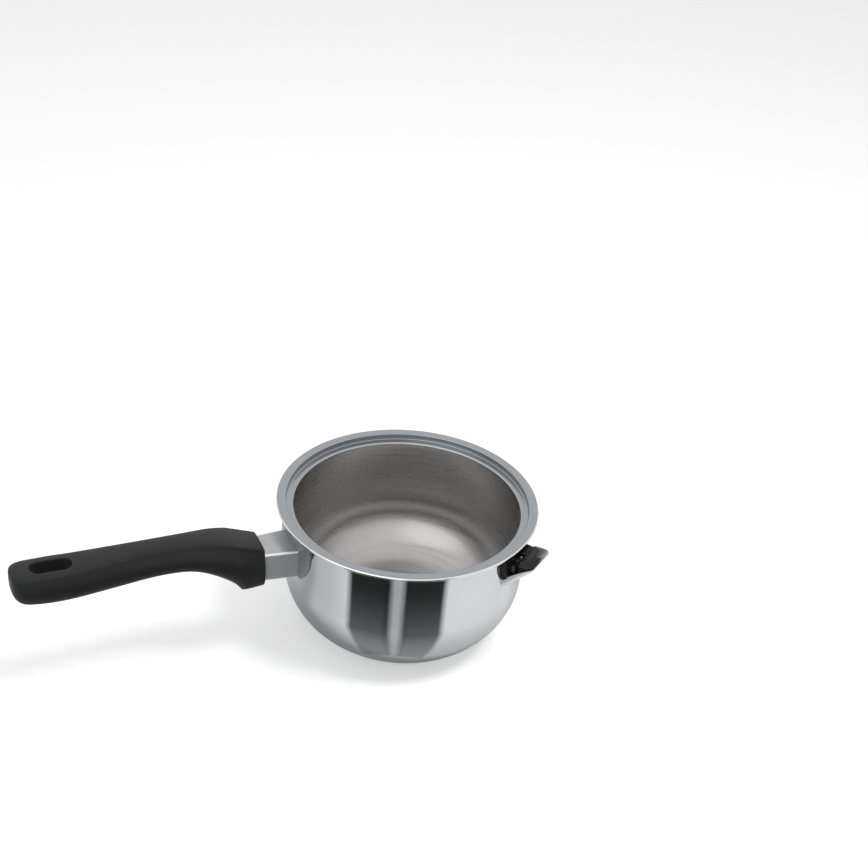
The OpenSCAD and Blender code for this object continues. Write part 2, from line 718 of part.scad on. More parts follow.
// The ring that the gasket fills between the wall and the collar
module gasket_form() {
    snout_w = passage_w + 2 * snout_wall;
    snout_h = passage_h + 2 * snout_wall;
    translate([0, 0, passage_z]) intersection() {
        translate([0, 0, -passage_z]) wall_form(gasket_t);
        along(wall_r - collar_t - gasket_t, collar_front) difference() {
            slot_outline(snout_w + 2 * gasket_w, snout_h + 2 * gasket_w);
            slot_outline(snout_w + 2 * seat_fit, snout_h + 2 * seat_fit);
        }
    }
}

// Silicone gasket around the snout
module housing_gasket() {
    color("dimgray") at_bearing(filler_angle) difference() {
        gasket_form();
        wall_form();
    }
}

// The bore for the hinge pin, closed at the near lug and open at the far one
module pin_form() {
    translate([pin_u, lug_cover - lug_end, pin_z]) rotate([-90, 0, 0])
        cylinder(2 * lug_end - lug_cover, d = pin_d);
}

// Side view of the flap's hood, ahead of the line from the pin square to the chute's floor
module hood_side(front) {
    intersection() {
        polygon([[seal_back, chute_foot_z], [front, chute_foot_z], [front, nose_z],
            [crest_u, flap_top], [flap_rear, flap_rear_z], [flap_rear, seal_top],
            [seal_back, seal_top]]);
        translate([pin_u, pin_z]) rotate(chute_tilt) translate([0, -pan_h / 2]) square(pan_h);
    }
}

// Side view of the block behind the seal, which swings just clear of the chute's floor
module block_side() {
    intersection() {
        polygon([[seal_back, chute_foot_z], [lip_u, chute_foot_z], [lip_u, pin_z],
            [flap_rear, pin_z], [flap_rear, seal_top], [seal_back, seal_top]]);
        translate([pin_u, pin_z]) circle(pin_to_floor - flap_gap - seat_fit);
    }
}

// Section of the flap's hood: upright sides that lean in from the shoulder to the top
module hood_section() {
    lean = atan2((flap_w - flap_top_w) / 2, flap_top - shoulder_z);
    cz = flap_top - flap_edge_r;
    cy = flap_w / 2 - (flap_edge_r + (cz - shoulder_z) * sin(lean)) / cos(lean);
    polygon(concat([[-flap_w / 2, 0], [flap_w / 2, 0], [flap_w / 2, shoulder_z]],
        arc(cy, cz, flap_edge_r, lean, 90, 6), arc(-cy, cz, flap_edge_r, 90, 180 - lean, 6),
        [[-flap_w / 2, shoulder_z]]));
}

// The space under the visor, the flap's short far side, which leans back over the chute
module visor_space() {
    deep = pan_h - chute_foot_z;
    translate([0, flap_w - notch_w / 4, 0]) across(2 * flap_w)
        polygon([[lip_u, visor_z], [visor_u, visor_z],
            [visor_u - deep * tan(visor_lean), visor_z - deep], [lip_u, visor_z - deep]]);
}

// Flap: a hood over the chute with two hinge knuckles, a steam duct and the whistle's bore
module whistle_flap() {
    front = lip_u - flap_gap;
    color([0.1, 0.1, 0.1]) at_bearing(filler_angle) difference() {
        union() {
            intersection() {
                across(flap_w) hood_side(front);
                channel_space(flap_gap);
                along(0, lip_u) hood_section();
                linear_extrude(pan_h) flap_plan(front);
            }
            across(passage_w) block_side();
            knuckle(-flap_knuckles_w / 2, -window_off - pin_window / 2);
            knuckle(-window_off + pin_window / 2, flap_knuckles_w / 2);
        }
        visor_space();
        translate([pin_u, 0, pin_z]) rotate([90, 0, 0])
            cylinder(chute_w, r = pin_d / 2 + hinge_fit, center = true);
        duct_form();
        translate([0, -whistle_off, pin_z]) along(riser_u, lip_u) circle(d = whistle_d);
    }
}

// A hinge knuckle of the flap from one place on the pin to another, with its web to the hood
module knuckle(from, to) {
    translate([0, (from + to) / 2, 0]) {
        translate([pin_u, 0, pin_z]) rotate([90, 0, 0])
            cylinder(to - from, d = knuckle_d, center = true);
        across(to - from) translate([pin_u, pin_z - knuckle_r])
            square([knuckle_r + 2 * flap_gap, knuckle_d]);
    }
}

// Plan of the flap: full length on one side, short on the other, with a notch between them
module flap_plan(front) {
    short_end = front - flap_short;
    intersection() {
        lip_plan(flap_w);
        polygon(concat([[0, -flap_w], [lip_u, -flap_w], [lip_u, notch_w],
            [front - notch_depth, -notch_w / 4]],
            arc(short_end - visor_r, flap_top_w / 2 - visor_r, visor_r, 0, 90, 8),
            [[short_end - 2 * visor_r, flap_w / 2], [0, flap_w / 2]]));
    }
}

// The duct that leads steam from the seal up to the whistle
module duct_form() {
    translate([0, -whistle_off, duct_z]) {
        along(seal_front - overrun, riser_u + riser_d / 2) circle(d = duct_d);
        translate([riser_u, 0, 0]) cylinder(pin_z - duct_z, d = riser_d);
    }
}

// Pin that the flap turns on
module hinge_pin() {
    color("silver") at_bearing(filler_angle) pin_form();
}

// Silicone seal between the flap and the mouth of the passage
module flap_seal() {
    color("dimgray") at_bearing(filler_angle) difference() {
        translate([seal_front, -seal_w / 2, seal_low]) cube([seal_t, seal_w, seal_h]);
        duct_form();
    }
}

// A disc of the whistle, at a distance behind the flap's rear face
module whistle_disc(u) {
    color("silver") at_bearing(filler_angle) translate([u, -whistle_off, pin_z]) rotate([0, 90, 0])
        difference() {
            cylinder(disc_t, d = whistle_d);
            translate([0, 0, -overrun]) cylinder(disc_t + 2 * overrun, d = disc_hole_d, $fn = 32);
        }
}

module whistle_rear_disc() {
    whistle_disc(disc_u);
}

module whistle_front_disc() {
    whistle_disc(disc_u + disc_t + disc_gap);
}

outer_shell();
inner_shell();
base_core();
base_cap();
handle_bracket();
flame_guard();
handle_grip();
handle_screw();
lock_washer();
filler_chute();
whistle_housing();
housing_gasket();
whistle_flap();
hinge_pin();
flap_seal();
whistle_rear_disc();
whistle_front_disc();
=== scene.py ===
import json
import math

import bmesh
import bpy
from mathutils import Matrix, Vector

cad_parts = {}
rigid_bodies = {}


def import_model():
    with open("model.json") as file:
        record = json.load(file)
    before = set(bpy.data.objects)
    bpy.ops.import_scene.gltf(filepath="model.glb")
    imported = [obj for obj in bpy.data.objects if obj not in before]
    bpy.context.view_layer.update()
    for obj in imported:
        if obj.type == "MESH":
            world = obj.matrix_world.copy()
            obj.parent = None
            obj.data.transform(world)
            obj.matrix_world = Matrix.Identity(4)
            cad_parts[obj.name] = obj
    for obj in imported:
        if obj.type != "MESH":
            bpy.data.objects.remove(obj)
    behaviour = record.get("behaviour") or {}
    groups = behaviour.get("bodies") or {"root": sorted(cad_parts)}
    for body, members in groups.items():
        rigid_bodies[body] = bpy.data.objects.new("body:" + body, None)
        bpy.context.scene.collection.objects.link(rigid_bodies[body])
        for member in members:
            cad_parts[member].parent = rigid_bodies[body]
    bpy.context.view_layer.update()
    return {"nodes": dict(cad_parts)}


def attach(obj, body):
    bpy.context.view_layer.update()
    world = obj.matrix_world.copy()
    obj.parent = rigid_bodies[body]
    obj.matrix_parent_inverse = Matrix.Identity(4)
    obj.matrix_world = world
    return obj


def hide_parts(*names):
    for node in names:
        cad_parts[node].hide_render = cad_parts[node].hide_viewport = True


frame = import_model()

# A double-walled saucepan: spun steel shells, a moulded grip and a filler with a whistle flap.
# Sizes are written in millimetres and brought to metres by MM.
MM = 0.001

# Sizes of the pan
WALL_R = 80.2
PAN_H = 97.0
FOOT_R = 51.0
FOOT_SINK = 2.2
DRAW_IN = 1.4
OUTER_SHEET = 0.8
INNER_SHEET = 0.8
JACKET_GAP = 5.0
FLOOR_GAP = 6.0
INNER_CORNER_R = 40.0
RIM_OVERHANG = 4.8
# Width of the rim's outer band that takes a painted highlight
RIM_HIGHLIGHT_W = 0.55
SEAT_DEPTH = 4.2
LIP_ROUND = 0.8
COVE_ROUND = 0.6
LEDGE_ROUND = 1.2
BASE_H = 4.5
BASE_SHEET = 0.6
BASE_FLAT_R = 46.0
BASE_EDGE_R = 7.6

# Places on the handle
GUARD_LEN = 20.6
SADDLE_REACH = 1.3
GRIP_FRONT = WALL_R + GUARD_LEN
GRIP_LEN = 155.0
GRIP_W = 31.0
GRIP_H = 43.7
GRIP_TOP = PAN_H + 2.4
GRIP_LOW = GRIP_TOP - GRIP_H
GRIP_CROWN = 0.7
GRIP_END_ROUND = 13.0
GRIP_END_LIFT = 10.0
GRIP_END_DROP = 1.5
HANG_LEN = 25.5
HANG_W = 11.2
HANG_INSET = 24.5
SCREW_U = GRIP_FRONT + 9.6
WELL_R = 4.7
WELL_TOP = 66.5
SOCKET_DEPTH = 26.2
SOCKET_HALF_W = 7.2
SOCKET_LOW = 74.3
SOCKET_HIGH = 79.7
OVERRUN = 1.0

# The camera of the photograph
VIEW_AZIMUTH = -26.0
VIEW_ELEVATION = 34.58
VIEW_ROLL = 4.69
VIEW_DISTANCE = 1.0
VIEW_LENS = 64.12
VIEW_SHIFT = (0.0301, 0.0750)

# Cards on the floor that the polished wall reflects
CARD_FOCUS = 43.0
CARD_INNER = 30.0
CARD_OUTER = 900.0
CARD_LIFT = 0.3
CARD_STEP = 0.05
CARD_FADE = (40.0, 178.0)
SHADE_REACH = (58.0, 128.0)
SHADE_SPAN = 140.0
CARD_TONE = (0.0, 0.0, 0.0)
SHADE_TONE = (0.03, 0.03, 0.033)


# Helpers for meshes

def add_object(name, mesh):
    obj = bpy.data.objects.new(name, mesh)
    bpy.context.scene.collection.objects.link(obj)
    return obj


def mesh_from(name, points, faces):
    mesh = bpy.data.meshes.new(name)
    mesh.from_pydata([Vector(p) * MM for p in points], [], faces)
    return add_object(name, mesh)


def finish_mesh(obj, sharp_angle=35.0, recalc=True):
    """Merges doubles, turns the faces outward and marks the sharp edges."""
    bm = bmesh.new()
    bm.from_mesh(obj.data)
    bmesh.ops.remove_doubles(bm, verts=bm.verts, dist=1e-7)
    if recalc:
        bmesh.ops.recalc_face_normals(bm, faces=bm.faces)
    bm.to_mesh(obj.data)
    bm.free()
    obj.data.shade_smooth()
    obj.data.set_sharp_from_angle(angle=math.radians(sharp_angle))
    return obj


def apply_modifiers(obj):
    """Puts the result of the modifiers in the mesh and removes them."""
    graph = bpy.context.evaluated_depsgraph_get()
    result = bpy.data.meshes.new_from_object(obj.evaluated_get(graph))
    obj.modifiers.clear()
    obj.data = result
    return obj


def copy_of_node(node, name):
    """A merged copy of a CAD node's mesh, in the frame's own coordinates."""
    source = frame["nodes"][node]
    parts = [source] if source.type == "MESH" else list(source.children_recursive)
    bm = bmesh.new()
    for part in parts:
        if part.type != "MESH":
            continue
        piece = part.data.copy()
        piece.transform(part.matrix_world)
        bm.from_mesh(piece)
        bpy.data.meshes.remove(piece)
    bmesh.ops.remove_doubles(bm, verts=bm.verts, dist=1e-6)
    mesh = bpy.data.meshes.new(name)
    bm.to_mesh(mesh)
    bm.free()
    return add_object(name, mesh)


def eased_edges(node, name, width):
    """A copy of a node whose sharp edges are eased by a small round of this width."""
    obj = copy_of_node(node, name)
    flat = obj.modifiers.new("flatten", "DECIMATE")
    flat.decimate_type = "DISSOLVE"
    flat.angle_limit = math.radians(0.5)
    ease = obj.modifiers.new("ease", "BEVEL")
    ease.width = width * MM
    ease.segments = 3
    ease.limit_method = "ANGLE"
    ease.angle_limit = math.radians(30)
    ease.use_clamp_overlap = True
    ease.harden_normals = False
    apply_modifiers(obj)
    return finish_mesh(obj, 30.0, recalc=False)


def moulded(obj, voxel, passes):
    """Rounds every edge of a closed piece as moulding does."""
    remesh = obj.modifiers.new("mould", "REMESH")
    remesh.mode = "VOXEL"
    remesh.voxel_size = voxel * MM
    remesh.use_smooth_shade = True
    smooth = obj.modifiers.new("smooth", "SMOOTH")
    smooth.factor = 0.5
    smooth.iterations = passes
    apply_modifiers(obj)
    obj.data.shade_smooth()
    return obj


def dress(obj, body, slot, *nodes):
    """Rides the piece on its body and hides the nodes that it stands for; the slot is not used."""
    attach(obj, body)
    if nodes:
        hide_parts(*nodes)
    return obj


# Node groups

def new_group(name, kind, inputs, outputs):
    tree = bpy.data.node_groups.new(name, kind)
    for title, socket_type, value in inputs:
        socket = tree.interface.new_socket(title, in_out="INPUT", socket_type=socket_type)
        if value is not None:
            socket.default_value = value
    for title, socket_type in outputs:
        tree.interface.new_socket(title, in_out="OUTPUT", socket_type=socket_type)
    return tree, tree.nodes.new("NodeGroupInput"), tree.nodes.new("NodeGroupOutput")


def wire(tree, start, end):
    tree.links.new(start, end)


def math_node(tree, operation, first, second=None, clamp=False):
    node = tree.nodes.new("ShaderNodeMath")
    node.operation = operation
    node.use_clamp = clamp
    for socket, value in zip(node.inputs, (first, second)):
        if value is None:
            continue
        if isinstance(value, (int, float)):
            socket.default_value = value
        else:
            wire(tree, value, socket)
    return node.outputs[0]


def noise_node(tree, vector, scale, detail=2.0, rough=0.5):
    node = tree.nodes.new("ShaderNodeTexNoise")
    node.inputs["Scale"].default_value = scale
    node.inputs["Detail"].default_value = detail
    node.inputs["Roughness"].default_value = rough
    wire(tree, vector, node.inputs["Vector"])
    return node.outputs["Fac"]


def range_node(tree, value, low, high, to_low=0.0, to_high=1.0):
    node = tree.nodes.new("ShaderNodeMapRange")
    for title, number in (("From Min", low), ("From Max", high), ("To Min", to_low), ("To Max", to_high)):
        node.inputs[title].default_value = number
    wire(tree, value, node.inputs["Value"])
    return node.outputs["Result"]


def spun_lines_group():
    """Fine rings left by spinning: they run round the pan's axis and drift slowly along."""
    tree, source, sink = new_group(
        "spun lines", "ShaderNodeTree",
        [("Ring Scale", "NodeSocketFloat", 900.0), ("Drift", "NodeSocketFloat", 3.0)],
        [("Lines", "NodeSocketFloat"), ("Haze", "NodeSocketFloat")])
    coord = tree.nodes.new("ShaderNodeTexCoord").outputs["Object"]
    split = tree.nodes.new("ShaderNodeSeparateXYZ")
    wire(tree, coord, split.inputs[0])
    x, y, z = split.outputs
    radius = math_node(tree, "SQRT", math_node(
        tree, "ADD", math_node(tree, "MULTIPLY", x, x), math_node(tree, "MULTIPLY", y, y)))
    safe = math_node(tree, "MAXIMUM", radius, 0.0005)
    drift = source.outputs["Drift"]
    along_x = math_node(tree, "MULTIPLY", math_node(tree, "DIVIDE", x, safe), drift)
    along_y = math_node(tree, "MULTIPLY", math_node(tree, "DIVIDE", y, safe), drift)
    climb = math_node(tree, "SUBTRACT", radius, z)
    across = math_node(tree, "MULTIPLY", climb, source.outputs["Ring Scale"])
    join = tree.nodes.new("ShaderNodeCombineXYZ")
    for socket, value in zip(join.inputs, (along_x, along_y, across)):
        wire(tree, value, socket)
    wire(tree, noise_node(tree, join.outputs[0], 1.0, 4.0, 0.6), sink.inputs["Lines"])
    wire(tree, noise_node(tree, coord, 22.0, 3.0, 0.55), sink.inputs["Haze"])
    return tree


def straight_lines_group():
    """Fine lines left by brushing along X."""
    tree, source, sink = new_group(
        "straight lines", "ShaderNodeTree",
        [("Line Scale", "NodeSocketFloat", 2500.0), ("Length Scale", "NodeSocketFloat", 60.0)],
        [("Lines", "NodeSocketFloat"), ("Haze", "NodeSocketFloat")])
    coord = tree.nodes.new("ShaderNodeTexCoord").outputs["Object"]
    split = tree.nodes.new("ShaderNodeSeparateXYZ")
    wire(tree, coord, split.inputs[0])
    x, y, z = split.outputs
    join = tree.nodes.new("ShaderNodeCombineXYZ")
    wire(tree, math_node(tree, "MULTIPLY", x, source.outputs["Length Scale"]), join.inputs[0])
    wire(tree, math_node(tree, "MULTIPLY", y, source.outputs["Line Scale"]), join.inputs[1])
    wire(tree, math_node(tree, "MULTIPLY", z, source.outputs["Line Scale"]), join.inputs[2])
    wire(tree, noise_node(tree, join.outputs[0], 1.0, 3.0, 0.6), sink.inputs["Lines"])
    wire(tree, noise_node(tree, coord, 60.0, 3.0, 0.6), sink.inputs["Haze"])
    return tree


def mould_grain_group():
    """The fine grain and the faint cloudiness of a moulded plastic surface."""
    tree, source, sink = new_group(
        "mould grain", "ShaderNodeTree",
        [("Grain Scale", "NodeSocketFloat", 3200.0), ("Cloud Scale", "NodeSocketFloat", 40.0)],
        [("Grain", "NodeSocketFloat"), ("Cloud", "NodeSocketFloat")])
    coord = tree.nodes.new("ShaderNodeTexCoord").outputs["Object"]
    for title, scale, output in (("Grain", "Grain Scale", "Grain"), ("Cloud", "Cloud Scale", "Cloud")):
        node = tree.nodes.new("ShaderNodeTexNoise")
        node.name = title
        node.inputs["Detail"].default_value = 3.0
        wire(tree, coord, node.inputs["Vector"])
        wire(tree, source.outputs[scale], node.inputs["Scale"])
        wire(tree, node.outputs["Fac"], sink.inputs[output])
    return tree


SPUN = spun_lines_group()
STRAIGHT = straight_lines_group()
GRAIN = mould_grain_group()


# Materials

def new_material(name, **sockets):
    """A material with its shader, its constant sockets set."""
    material = bpy.data.materials.new(name)
    material.use_nodes = True
    shader = material.node_tree.nodes["Principled BSDF"]
    for title, value in sockets.items():
        shader.inputs[title.replace("_", " ")].default_value = value
    return material, material.node_tree, shader


def place_group(tree, group, **values):
    node = tree.nodes.new("ShaderNodeGroup")
    node.node_tree = group
    for title, value in values.items():
        node.inputs[title.replace("_", " ")].default_value = value
    return node


def tint_by(tree, value, low, high, dark, light, shader):
    """Colours the surface between two near tones by a value."""
    ramp = tree.nodes.new("ShaderNodeMix")
    ramp.data_type = "RGBA"
    ramp.inputs[6].default_value = (*dark, 1.0)
    ramp.inputs[7].default_value = (*light, 1.0)
    wire(tree, range_node(tree, value, low, high), ramp.inputs[0])
    wire(tree, ramp.outputs[2], shader.inputs["Base Color"])


def bump_by(tree, value, height, shader):
    node = tree.nodes.new("ShaderNodeBump")
    node.inputs["Strength"].default_value = 1.0
    node.inputs["Distance"].default_value = height * MM
    wire(tree, value, node.inputs["Height"])
    wire(tree, node.outputs["Normal"], shader.inputs["Normal"])


def round_tangent(tree, shader):
    """Brings the tangent round the pan's axis, so that a spun finish glints across its rings."""
    node = tree.nodes.new("ShaderNodeTangent")
    node.direction_type = "RADIAL"
    node.axis = "Z"
    wire(tree, node.outputs["Tangent"], shader.inputs["Tangent"])


def spun_steel(name, dark, light, rough, ring_scale, height, anisotropy, metal=1.0, drift=2.5):
    material, tree, shader = new_material(name, Metallic=metal, Anisotropic=anisotropy)
    lines = place_group(tree, SPUN, Ring_Scale=ring_scale, Drift=drift)
    tint_by(tree, lines.outputs["Lines"], 0.3, 0.7, dark, light, shader)
    mixed = math_node(tree, "ADD", range_node(tree, lines.outputs["Lines"], 0.3, 0.7, -0.05, 0.05),
                      range_node(tree, lines.outputs["Haze"], 0.3, 0.7, rough - 0.03, rough + 0.03))
    wire(tree, mixed, shader.inputs["Roughness"])
    bump_by(tree, lines.outputs["Lines"], height, shader)
    if anisotropy:
        round_tangent(tree, shader)
    return material


def polished_steel(name, dark, light, rough):
    """Mirror polish with a faint trace of the rings and a little haze."""
    material, tree, shader = new_material(name, Metallic=1.0)
    lines = place_group(tree, SPUN, Ring_Scale=500.0, Drift=2.0)
    tint_by(tree, lines.outputs["Haze"], 0.3, 0.7, dark, light, shader)
    wire(tree, range_node(tree, lines.outputs["Haze"], 0.35, 0.7, rough - 0.015, rough + 0.02),
         shader.inputs["Roughness"])
    bump_by(tree, lines.outputs["Lines"], 0.0006, shader)
    return material


def brushed_steel(name, dark, light, rough, height, metal=1.0):
    material, tree, shader = new_material(name, Metallic=metal)
    lines = place_group(tree, STRAIGHT, Line_Scale=2600.0, Length_Scale=70.0)
    tint_by(tree, lines.outputs["Lines"], 0.3, 0.7, dark, light, shader)
    wire(tree, range_node(tree, lines.outputs["Haze"], 0.3, 0.7, rough - 0.05, rough + 0.05),
         shader.inputs["Roughness"])
    bump_by(tree, lines.outputs["Lines"], height, shader)
    return material


def moulded_plastic(name, dark, light, rough, grain_scale, height, shine=0.5):
    material, tree, shader = new_material(name, Specular_IOR_Level=shine)
    grain = place_group(tree, GRAIN, Grain_Scale=grain_scale, Cloud_Scale=35.0)
    tint_by(tree, grain.outputs["Cloud"], 0.3, 0.7, dark, light, shader)
    wire(tree, range_node(tree, grain.outputs["Cloud"], 0.3, 0.7, rough - 0.04, rough + 0.04),
         shader.inputs["Roughness"])
    bump_by(tree, grain.outputs["Grain"], height, shader)
    return material


MIRROR = polished_steel("mirror steel", (0.60, 0.615, 0.635), (0.65, 0.665, 0.685), 0.06)
# The rim's rolled edge is polished; its much lighter tone is a painted highlight
RIM_EDGE_PAINTED_HIGHLIGHT = polished_steel("rim edge painted highlight", (0.74, 0.75, 0.76), (0.78, 0.79, 0.80), 0.16)
CHUTE_SATIN = spun_steel("chute steel", (0.76, 0.77, 0.79), (0.82, 0.83, 0.85), 0.24,
                         700.0, 0.001, 0.0, 0.45)
RIM_SATIN = spun_steel("satin rim steel", (0.31, 0.335, 0.355), (0.35, 0.375, 0.395), 0.22,
                       1400.0, 0.0003, 0.0)
SPUN_INSIDE = spun_steel("spun steel", (0.41, 0.405, 0.40), (0.50, 0.495, 0.49), 0.27,
                         1100.0, 0.0012, 0.7, 1.0, 0.9)
GUARD_SATIN = brushed_steel("brushed guard steel", (0.40, 0.405, 0.41), (0.46, 0.465, 0.47), 0.42,
                            0.003, 0.6)
# Darker copy of the guard steel for the saddle against the wall: a painted dark reflection
SADDLE_PAINTED_DARK_REFLECTION = brushed_steel("saddle steel painted dark reflection", (0.25, 0.265, 0.275), (0.29, 0.305, 0.315), 0.4,
                             0.002, 0.6)
# Lighter copy of the guard steel for its eased edges: a painted highlight
GUARD_EDGE_PAINTED_HIGHLIGHT = brushed_steel("guard edge painted highlight", (0.74, 0.75, 0.76), (0.8, 0.81, 0.82), 0.3, 0.001, 0.6)
PLAIN_STEEL = brushed_steel("plain steel", (0.56, 0.56, 0.57), (0.64, 0.64, 0.65), 0.3, 0.003)
CORE_ALLOY = spun_steel("plain aluminium", (0.70, 0.70, 0.71), (0.78, 0.78, 0.79), 0.4, 300.0, 0.006, 0.0)
GRIP_BLACK = moulded_plastic("matte black grip", (0.0095, 0.0098, 0.0105), (0.0135, 0.0138, 0.0145), 0.46,
                             3600.0, 0.012, 0.27)
CLOSURE_BLACK = moulded_plastic("black closure", (0.006, 0.006, 0.0065), (0.009, 0.009, 0.0095), 0.3,
                                2400.0, 0.004, 0.22)
SILICONE = moulded_plastic("grey silicone", (0.10, 0.10, 0.10), (0.13, 0.13, 0.13), 0.55, 2800.0, 0.006)


# Spun shells

def arc(cx, cz, radius, start, end, steps=16):
    points = []
    for i in range(steps + 1):
        turn = math.radians(start + (end - start) * i / steps)
        points.append((cx + radius * math.cos(turn), cz + radius * math.sin(turn)))
    return points


def spread(points, longest=3.0):
    """Adds points on the straight stretches, so that every face of a spun shell stays short."""
    out = [points[0]]
    for (x0, z0), (x1, z1) in zip(points, points[1:]):
        steps = max(1, math.ceil(math.hypot(x1 - x0, z1 - z0) / longest))
        out += [(x0 + (x1 - x0) * k / steps, z0 + (z1 - z0) * k / steps) for k in range(1, steps + 1)]
    return out


def spinning_tree():
    """Turns a row of points round the Z axis into a closed skin."""
    tree, source, sink = new_group(
        "spinning", "GeometryNodeTree",
        [("Geometry", "NodeSocketGeometry", None), ("Row Points", "NodeSocketInt", 8),
         ("Steps Around", "NodeSocketInt", 64), ("Finish", "NodeSocketMaterial", None)],
        [("Geometry", "NodeSocketGeometry")])
    nodes = tree.nodes
    row, steps = source.outputs["Row Points"], source.outputs["Steps Around"]
    grid = nodes.new("GeometryNodeMeshGrid")
    wire(tree, math_node(tree, "ADD", steps, 1.0), grid.inputs["Vertices X"])
    wire(tree, row, grid.inputs["Vertices Y"])
    index = nodes.new("GeometryNodeInputIndex").outputs[0]
    place = math_node(tree, "FLOORED_MODULO", index, row)
    turn = math_node(tree, "FLOOR", math_node(tree, "DIVIDE", index, row))
    angle = math_node(tree, "MULTIPLY", math_node(tree, "DIVIDE", turn, steps), math.tau)
    sample = nodes.new("GeometryNodeSampleIndex")
    sample.data_type = "FLOAT_VECTOR"
    wire(tree, source.outputs["Geometry"], sample.inputs["Geometry"])
    wire(tree, nodes.new("GeometryNodeInputPosition").outputs[0], sample.inputs["Value"])
    wire(tree, place, sample.inputs["Index"])
    rotate = nodes.new("ShaderNodeVectorRotate")
    rotate.rotation_type = "Z_AXIS"
    wire(tree, sample.outputs[0], rotate.inputs["Vector"])
    wire(tree, angle, rotate.inputs["Angle"])
    put = nodes.new("GeometryNodeSetPosition")
    wire(tree, grid.outputs["Mesh"], put.inputs["Geometry"])
    wire(tree, rotate.outputs[0], put.inputs["Position"])
    merge = nodes.new("GeometryNodeMergeByDistance")
    merge.inputs["Distance"].default_value = 0.002 * MM
    real = nodes.new("GeometryNodeRealizeInstances")
    finish = nodes.new("GeometryNodeSetMaterial")
    wire(tree, put.outputs[0], merge.inputs["Geometry"])
    wire(tree, merge.outputs[0], real.inputs[0])
    wire(tree, real.outputs[0], finish.inputs["Geometry"])
    wire(tree, source.outputs["Finish"], finish.inputs["Material"])
    wire(tree, finish.outputs[0], sink.inputs["Geometry"])
    return tree


def set_input(modifier, tree, title, value):
    for item in tree.interface.items_tree:
        if item.item_type == "SOCKET" and item.in_out == "INPUT" and item.name == title:
            modifier[item.identifier] = value


SPINNING = spinning_tree()


def spun(name, outline, finish, steps=288, longest=3.0):
    """A closed shell spun from its outline in radius and height."""
    row = spread(outline + outline[:1], longest)
    mesh = bpy.data.meshes.new(name)
    mesh.from_pydata([Vector((max(r, 0.0), 0.0, z)) * MM for r, z in row], [], [])
    obj = add_object(name, mesh)
    modifier = obj.modifiers.new("spinning", "NODES")
    modifier.node_group = SPINNING
    set_input(modifier, SPINNING, "Row Points", len(row))
    set_input(modifier, SPINNING, "Steps Around", steps)
    set_input(modifier, SPINNING, "Finish", finish)
    apply_modifiers(obj)
    obj.data.materials.clear()
    obj.data.materials.append(finish)
    for face in obj.data.polygons:
        face.material_index = 0
    return finish_mesh(obj, 32.0)


foot_wall_r = WALL_R - DRAW_IN
foot_cz = FOOT_R - FOOT_SINK
foot_cr = foot_wall_r - FOOT_R
rim_r = WALL_R + RIM_OVERHANG
flange_top = PAN_H - INNER_SHEET
flange_low = flange_top - OUTER_SHEET
hem_low = flange_low - INNER_SHEET
flange_r = rim_r - INNER_SHEET
hem_r = WALL_R + RIM_OVERHANG / 2
edge_r = (PAN_H - hem_low) / 2
seat_r = WALL_R - OUTER_SHEET - INNER_SHEET
seat_z = PAN_H - SEAT_DEPTH
straight_z = seat_z - 2 * INNER_SHEET
inner_r = WALL_R - OUTER_SHEET - JACKET_GAP - INNER_SHEET
floor_z = BASE_H + OUTER_SHEET + FLOOR_GAP + INNER_SHEET


def outer_outline():
    turn = math.degrees(math.asin((foot_cz - BASE_H) / FOOT_R))
    turn_in = math.degrees(math.asin((foot_cz - BASE_H - OUTER_SHEET) / (FOOT_R - OUTER_SHEET)))
    return ([(flange_r, flange_top), (flange_r, flange_low)]
            + arc(WALL_R + OUTER_SHEET, flange_low - OUTER_SHEET, OUTER_SHEET, 90, 180, 8)
            + [(WALL_R, straight_z)]
            + arc(foot_cr, foot_cz, FOOT_R, 0, -turn, 56)
            + [(0, BASE_H), (0, BASE_H + OUTER_SHEET)]
            + arc(foot_cr, foot_cz, FOOT_R - OUTER_SHEET, -turn_in, 0, 24)
            + [(WALL_R - OUTER_SHEET, straight_z), (WALL_R - OUTER_SHEET, flange_top)])


def inner_outline():
    corner_r = inner_r - INNER_CORNER_R
    corner_z = floor_z + INNER_CORNER_R
    return ([(hem_r, flange_low), (flange_r, flange_low), (flange_r, flange_top),
             (WALL_R - OUTER_SHEET, flange_top), (WALL_R - OUTER_SHEET, seat_z - INNER_SHEET),
             (inner_r + INNER_SHEET, seat_z - INNER_SHEET)]
            + arc(corner_r, corner_z, INNER_CORNER_R + INNER_SHEET, 0, -90, 24)
            + [(0, floor_z - INNER_SHEET), (0, floor_z)]
            + arc(corner_r, corner_z, INNER_CORNER_R, -90, 0, 48)
            + arc(inner_r + LEDGE_ROUND, seat_z - LEDGE_ROUND, LEDGE_ROUND, 180, 90, 8)
            + arc(seat_r - COVE_ROUND, seat_z + COVE_ROUND, COVE_ROUND, -90, 0, 6)
            + arc(seat_r + LIP_ROUND, PAN_H - LIP_ROUND, LIP_ROUND, 180, 90, 8)
            + arc(rim_r - edge_r, PAN_H - edge_r, edge_r, 90, -90, 18)
            + [(hem_r, hem_low)])


def base_arc(inset):
    end = math.degrees(math.acos((BASE_EDGE_R - BASE_H) / (BASE_EDGE_R - inset))) - 90
    return arc(BASE_FLAT_R, BASE_EDGE_R, BASE_EDGE_R - inset, -90, end, 12)


def cap_outline():
    return [(0, 0)] + base_arc(0) + base_arc(BASE_SHEET)[::-1] + [(0, BASE_SHEET)]


outer_wall = spun("outer_wall", outer_outline(), MIRROR)
dress(outer_wall, "pan", "polished_steel", "outer_shell")

inner_pan = spun("inner_pan", inner_outline(), SPUN_INSIDE)
inner_pan.data.materials.append(RIM_SATIN)
inner_pan.data.materials.append(RIM_EDGE_PAINTED_HIGHLIGHT)
